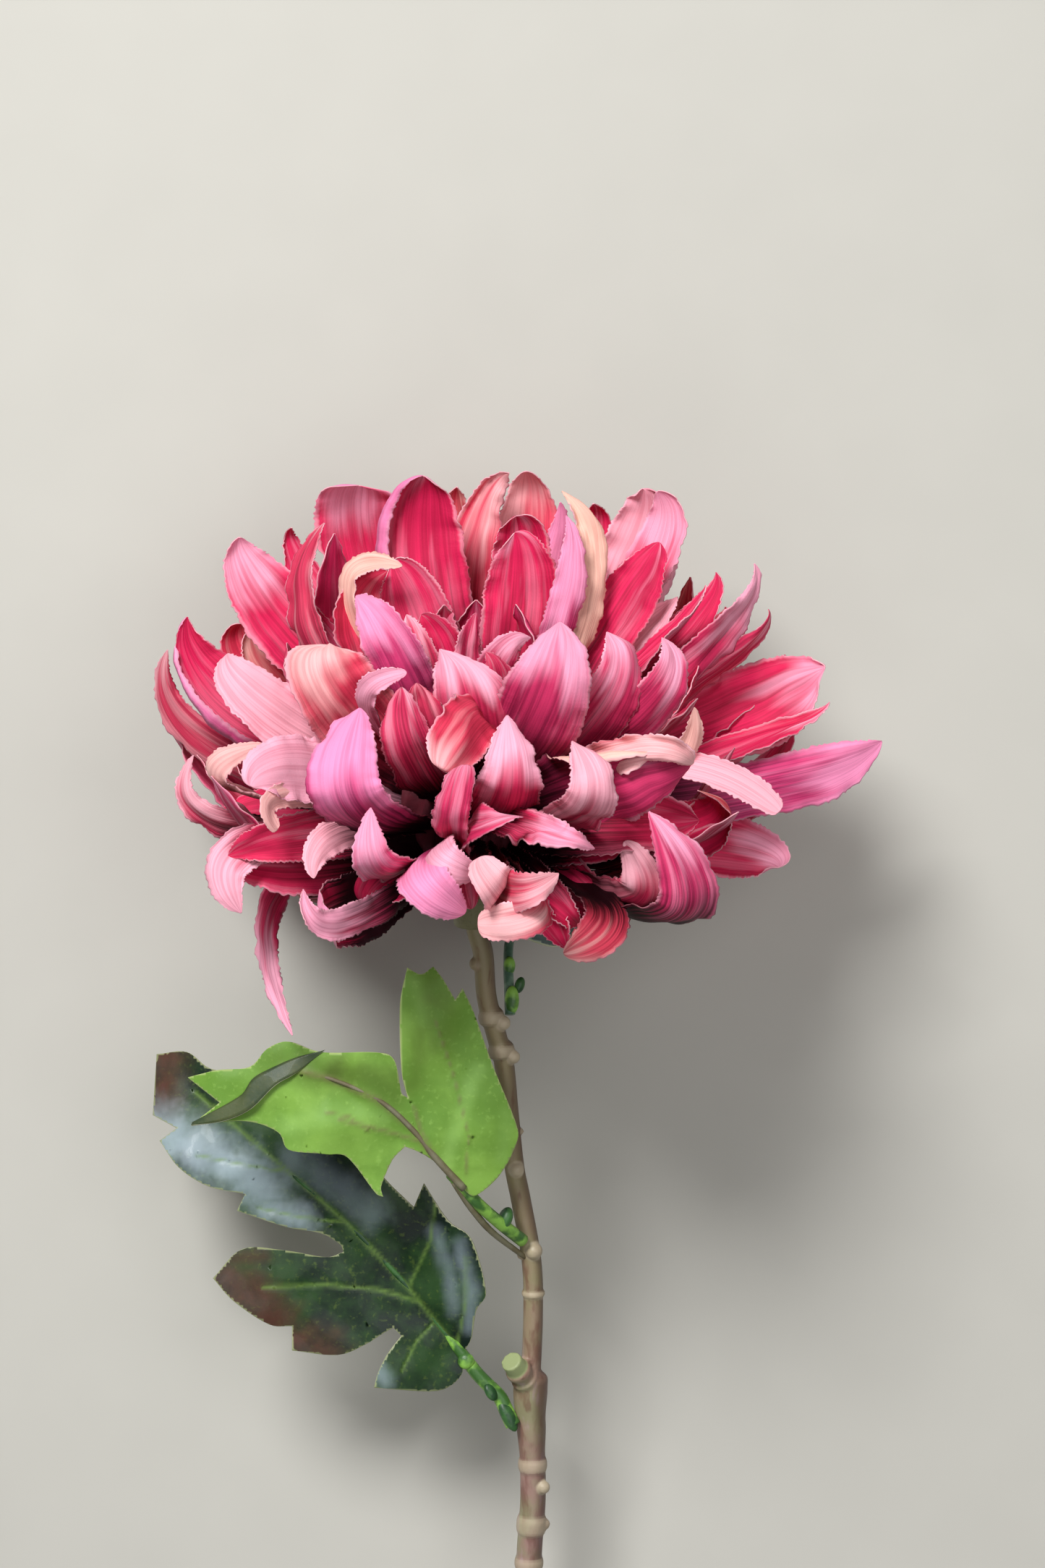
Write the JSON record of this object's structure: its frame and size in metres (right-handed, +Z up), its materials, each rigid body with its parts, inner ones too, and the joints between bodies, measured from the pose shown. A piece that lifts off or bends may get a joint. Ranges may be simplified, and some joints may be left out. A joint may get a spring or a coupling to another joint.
{
  "type": "artificial chrysanthemum stem",
  "caption": "Cut artificial chrysanthemum lying on its back: one large layered fabric bloom on a ringed plastic stem with lobed leaves.",
  "frame": {"origin": "on the surface that the stem lies on, under the middle of its box", "axes": "+Y along the stem towards the bloom's crown, +X to the bloom's right as seen from above, +Z up from the surface"},
  "size_m": [0.1568, 0.341, 0.1261],
  "materials": {
    "petal_fabric": "matte printed cloth, crimson inside and mauve outside",
    "calyx_plastic": "satin moulded green",
    "stem_plastic": "moulded, washed olive, mauve and brown",
    "dark_leaf": "coated cloth, satin dark green with mottling",
    "pale_leaf": "coated cloth, pale yellow-green underside",
    "back_leaf": "coated cloth, grey-green"
  },
  "bodies": {
    "root": {"bloom": "petal_fabric", "calyx": "calyx_plastic", "stem": "stem_plastic", "leaf_lower": "dark_leaf", "leaf_upper": "pale_leaf", "leaf_back": "back_leaf"}
  },
  "joints": []
}
